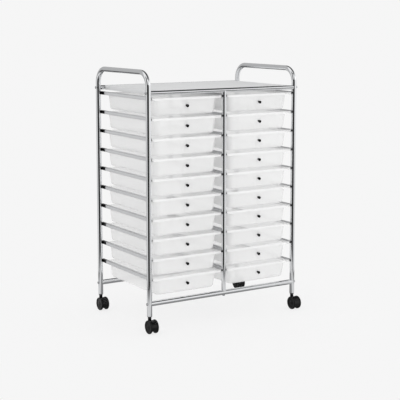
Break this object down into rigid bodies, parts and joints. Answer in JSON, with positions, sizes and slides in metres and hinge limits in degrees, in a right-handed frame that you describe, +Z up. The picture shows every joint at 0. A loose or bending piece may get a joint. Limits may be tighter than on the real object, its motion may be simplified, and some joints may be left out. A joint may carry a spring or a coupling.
{
  "type": "rolling drawer cart",
  "caption": "Rolling storage cart: chromed tube frame with end handles, a flat grey top shelf, two columns of frosted pull-out drawers with black knobs, and four swivel casters.",
  "frame": {"origin": "on the floor, under the centre of the box round the whole cart", "axes": "+Z up, +X to the right as seen from the drawer fronts, -Y towards the front, where the drawers pull out"},
  "size_m": [0.677, 0.4384, 0.953],
  "materials": {
    "chrome": "bright chrome plating",
    "bright_steel": "zinc plated",
    "rail_grey": "grey satin paint",
    "shelf_grey": "pale grey satin paint",
    "frosted_plastic": "frosted, slightly see-through",
    "black_plastic": "moulded, semi-gloss",
    "black_nylon": "moulded, satin"
  },
  "bodies": {
    "frame": {"left_end_frame": "chrome", "right_end_frame": "chrome", "centre_posts": "chrome", "top_crossbars": "chrome", "bottom_crossbars": "chrome", "top_shelf": "shelf_grey", "frame_bolts": "bright_steel", "rail_rivets": "bright_steel", "drawer_rails": "rail_grey", "rail_end_stops": "black_plastic", "caster_stems": "bright_steel", "caster_sockets": "black_plastic"},
    "drawer_left_1": {"tray_left_1": "frosted_plastic", "pull_left_1": "black_plastic"},
    "drawer_left_2": {"tray_left_2": "frosted_plastic", "pull_left_2": "black_plastic"},
    "drawer_left_3": {"tray_left_3": "frosted_plastic", "pull_left_3": "black_plastic"},
    "drawer_left_4": {"tray_left_4": "frosted_plastic", "pull_left_4": "black_plastic"},
    "drawer_left_5": {"tray_left_5": "frosted_plastic", "pull_left_5": "black_plastic"},
    "drawer_left_6": {"tray_left_6": "frosted_plastic", "pull_left_6": "black_plastic"},
    "drawer_left_7": {"tray_left_7": "frosted_plastic", "pull_left_7": "black_plastic"},
    "drawer_left_8": {"tray_left_8": "frosted_plastic", "pull_left_8": "black_plastic"},
    "drawer_left_9": {"tray_left_9": "frosted_plastic", "pull_left_9": "black_plastic"},
    "drawer_left_10": {"tray_left_10": "frosted_plastic", "pull_left_10": "black_plastic"},
    "drawer_right_1": {"tray_right_1": "frosted_plastic", "pull_right_1": "black_plastic"},
    "drawer_right_2": {"tray_right_2": "frosted_plastic", "pull_right_2": "black_plastic"},
    "drawer_right_3": {"tray_right_3": "frosted_plastic", "pull_right_3": "black_plastic"},
    "drawer_right_4": {"tray_right_4": "frosted_plastic", "pull_right_4": "black_plastic"},
    "drawer_right_5": {"tray_right_5": "frosted_plastic", "pull_right_5": "black_plastic"},
    "drawer_right_6": {"tray_right_6": "frosted_plastic", "pull_right_6": "black_plastic"},
    "drawer_right_7": {"tray_right_7": "frosted_plastic", "pull_right_7": "black_plastic"},
    "drawer_right_8": {"tray_right_8": "frosted_plastic", "pull_right_8": "black_plastic"},
    "drawer_right_9": {"tray_right_9": "frosted_plastic", "pull_right_9": "black_plastic"},
    "drawer_right_10": {"tray_right_10": "frosted_plastic", "pull_right_10": "black_plastic"},
    "swivel_front_left": {"caster_hood_front_left": "black_plastic"},
    "wheels_front_left": {"caster_wheels_front_left": "black_nylon"},
    "swivel_front_right": {"caster_hood_front_right": "black_plastic"},
    "wheels_front_right": {"caster_wheels_front_right": "black_nylon"},
    "swivel_rear_left": {"caster_hood_rear_left": "black_plastic"},
    "wheels_rear_left": {"caster_wheels_rear_left": "black_nylon"},
    "swivel_rear_right": {"caster_hood_rear_right": "black_plastic"},
    "wheels_rear_right": {"caster_wheels_rear_right": "black_nylon"}
  },
  "joints": [
    {"name": "slide_left_1", "type": "slide", "parent": "frame", "child": "drawer_left_1", "axis": [0, -1, 0], "range_m": [0, 0.28]},
    {"name": "slide_left_2", "type": "slide", "parent": "frame", "child": "drawer_left_2", "axis": [0, -1, 0], "range_m": [0, 0.28]},
    {"name": "slide_left_3", "type": "slide", "parent": "frame", "child": "drawer_left_3", "axis": [0, -1, 0], "range_m": [0, 0.28]},
    {"name": "slide_left_4", "type": "slide", "parent": "frame", "child": "drawer_left_4", "axis": [0, -1, 0], "range_m": [0, 0.28]},
    {"name": "slide_left_5", "type": "slide", "parent": "frame", "child": "drawer_left_5", "axis": [0, -1, 0], "range_m": [0, 0.28]},
    {"name": "slide_left_6", "type": "slide", "parent": "frame", "child": "drawer_left_6", "axis": [0, -1, 0], "range_m": [0, 0.28]},
    {"name": "slide_left_7", "type": "slide", "parent": "frame", "child": "drawer_left_7", "axis": [0, -1, 0], "range_m": [0, 0.28]},
    {"name": "slide_left_8", "type": "slide", "parent": "frame", "child": "drawer_left_8", "axis": [0, -1, 0], "range_m": [0, 0.28]},
    {"name": "slide_left_9", "type": "slide", "parent": "frame", "child": "drawer_left_9", "axis": [0, -1, 0], "range_m": [0, 0.28]},
    {"name": "slide_left_10", "type": "slide", "parent": "frame", "child": "drawer_left_10", "axis": [0, -1, 0], "range_m": [0, 0.28]},
    {"name": "slide_right_1", "type": "slide", "parent": "frame", "child": "drawer_right_1", "axis": [0, -1, 0], "range_m": [0, 0.28]},
    {"name": "slide_right_2", "type": "slide", "parent": "frame", "child": "drawer_right_2", "axis": [0, -1, 0], "range_m": [0, 0.28]},
    {"name": "slide_right_3", "type": "slide", "parent": "frame", "child": "drawer_right_3", "axis": [0, -1, 0], "range_m": [0, 0.28]},
    {"name": "slide_right_4", "type": "slide", "parent": "frame", "child": "drawer_right_4", "axis": [0, -1, 0], "range_m": [0, 0.28]},
    {"name": "slide_right_5", "type": "slide", "parent": "frame", "child": "drawer_right_5", "axis": [0, -1, 0], "range_m": [0, 0.28]},
    {"name": "slide_right_6", "type": "slide", "parent": "frame", "child": "drawer_right_6", "axis": [0, -1, 0], "range_m": [0, 0.28]},
    {"name": "slide_right_7", "type": "slide", "parent": "frame", "child": "drawer_right_7", "axis": [0, -1, 0], "range_m": [0, 0.28]},
    {"name": "slide_right_8", "type": "slide", "parent": "frame", "child": "drawer_right_8", "axis": [0, -1, 0], "range_m": [0, 0.28]},
    {"name": "slide_right_9", "type": "slide", "parent": "frame", "child": "drawer_right_9", "axis": [0, -1, 0], "range_m": [0, 0.28]},
    {"name": "slide_right_10", "type": "slide", "parent": "frame", "child": "drawer_right_10", "axis": [0, -1, 0], "range_m": [0, 0.28]},
    {"name": "swivel_front_left", "type": "hinge", "parent": "frame", "child": "swivel_front_left", "pos_m": [-0.322, -0.17825, 0.05], "axis": [0, 0, 1], "continuous": true},
    {"name": "roll_front_left", "type": "hinge", "parent": "swivel_front_left", "child": "wheels_front_left", "pos_m": [-0.322, -0.19425, 0.025], "axis": [1, 0, 0], "continuous": true},
    {"name": "swivel_front_right", "type": "hinge", "parent": "frame", "child": "swivel_front_right", "pos_m": [0.322, -0.17825, 0.05], "axis": [0, 0, 1], "continuous": true},
    {"name": "roll_front_right", "type": "hinge", "parent": "swivel_front_right", "child": "wheels_front_right", "pos_m": [0.322, -0.19425, 0.025], "axis": [1, 0, 0], "continuous": true},
    {"name": "swivel_rear_left", "type": "hinge", "parent": "frame", "child": "swivel_rear_left", "pos_m": [-0.322, 0.20975, 0.05], "axis": [0, 0, 1], "continuous": true},
    {"name": "roll_rear_left", "type": "hinge", "parent": "swivel_rear_left", "child": "wheels_rear_left", "pos_m": [-0.322, 0.19375, 0.025], "axis": [1, 0, 0], "continuous": true},
    {"name": "swivel_rear_right", "type": "hinge", "parent": "frame", "child": "swivel_rear_right", "pos_m": [0.322, 0.20975, 0.05], "axis": [0, 0, 1], "continuous": true},
    {"name": "roll_rear_right", "type": "hinge", "parent": "swivel_rear_right", "child": "wheels_rear_right", "pos_m": [0.322, 0.19375, 0.025], "axis": [1, 0, 0], "continuous": true}
  ]
}
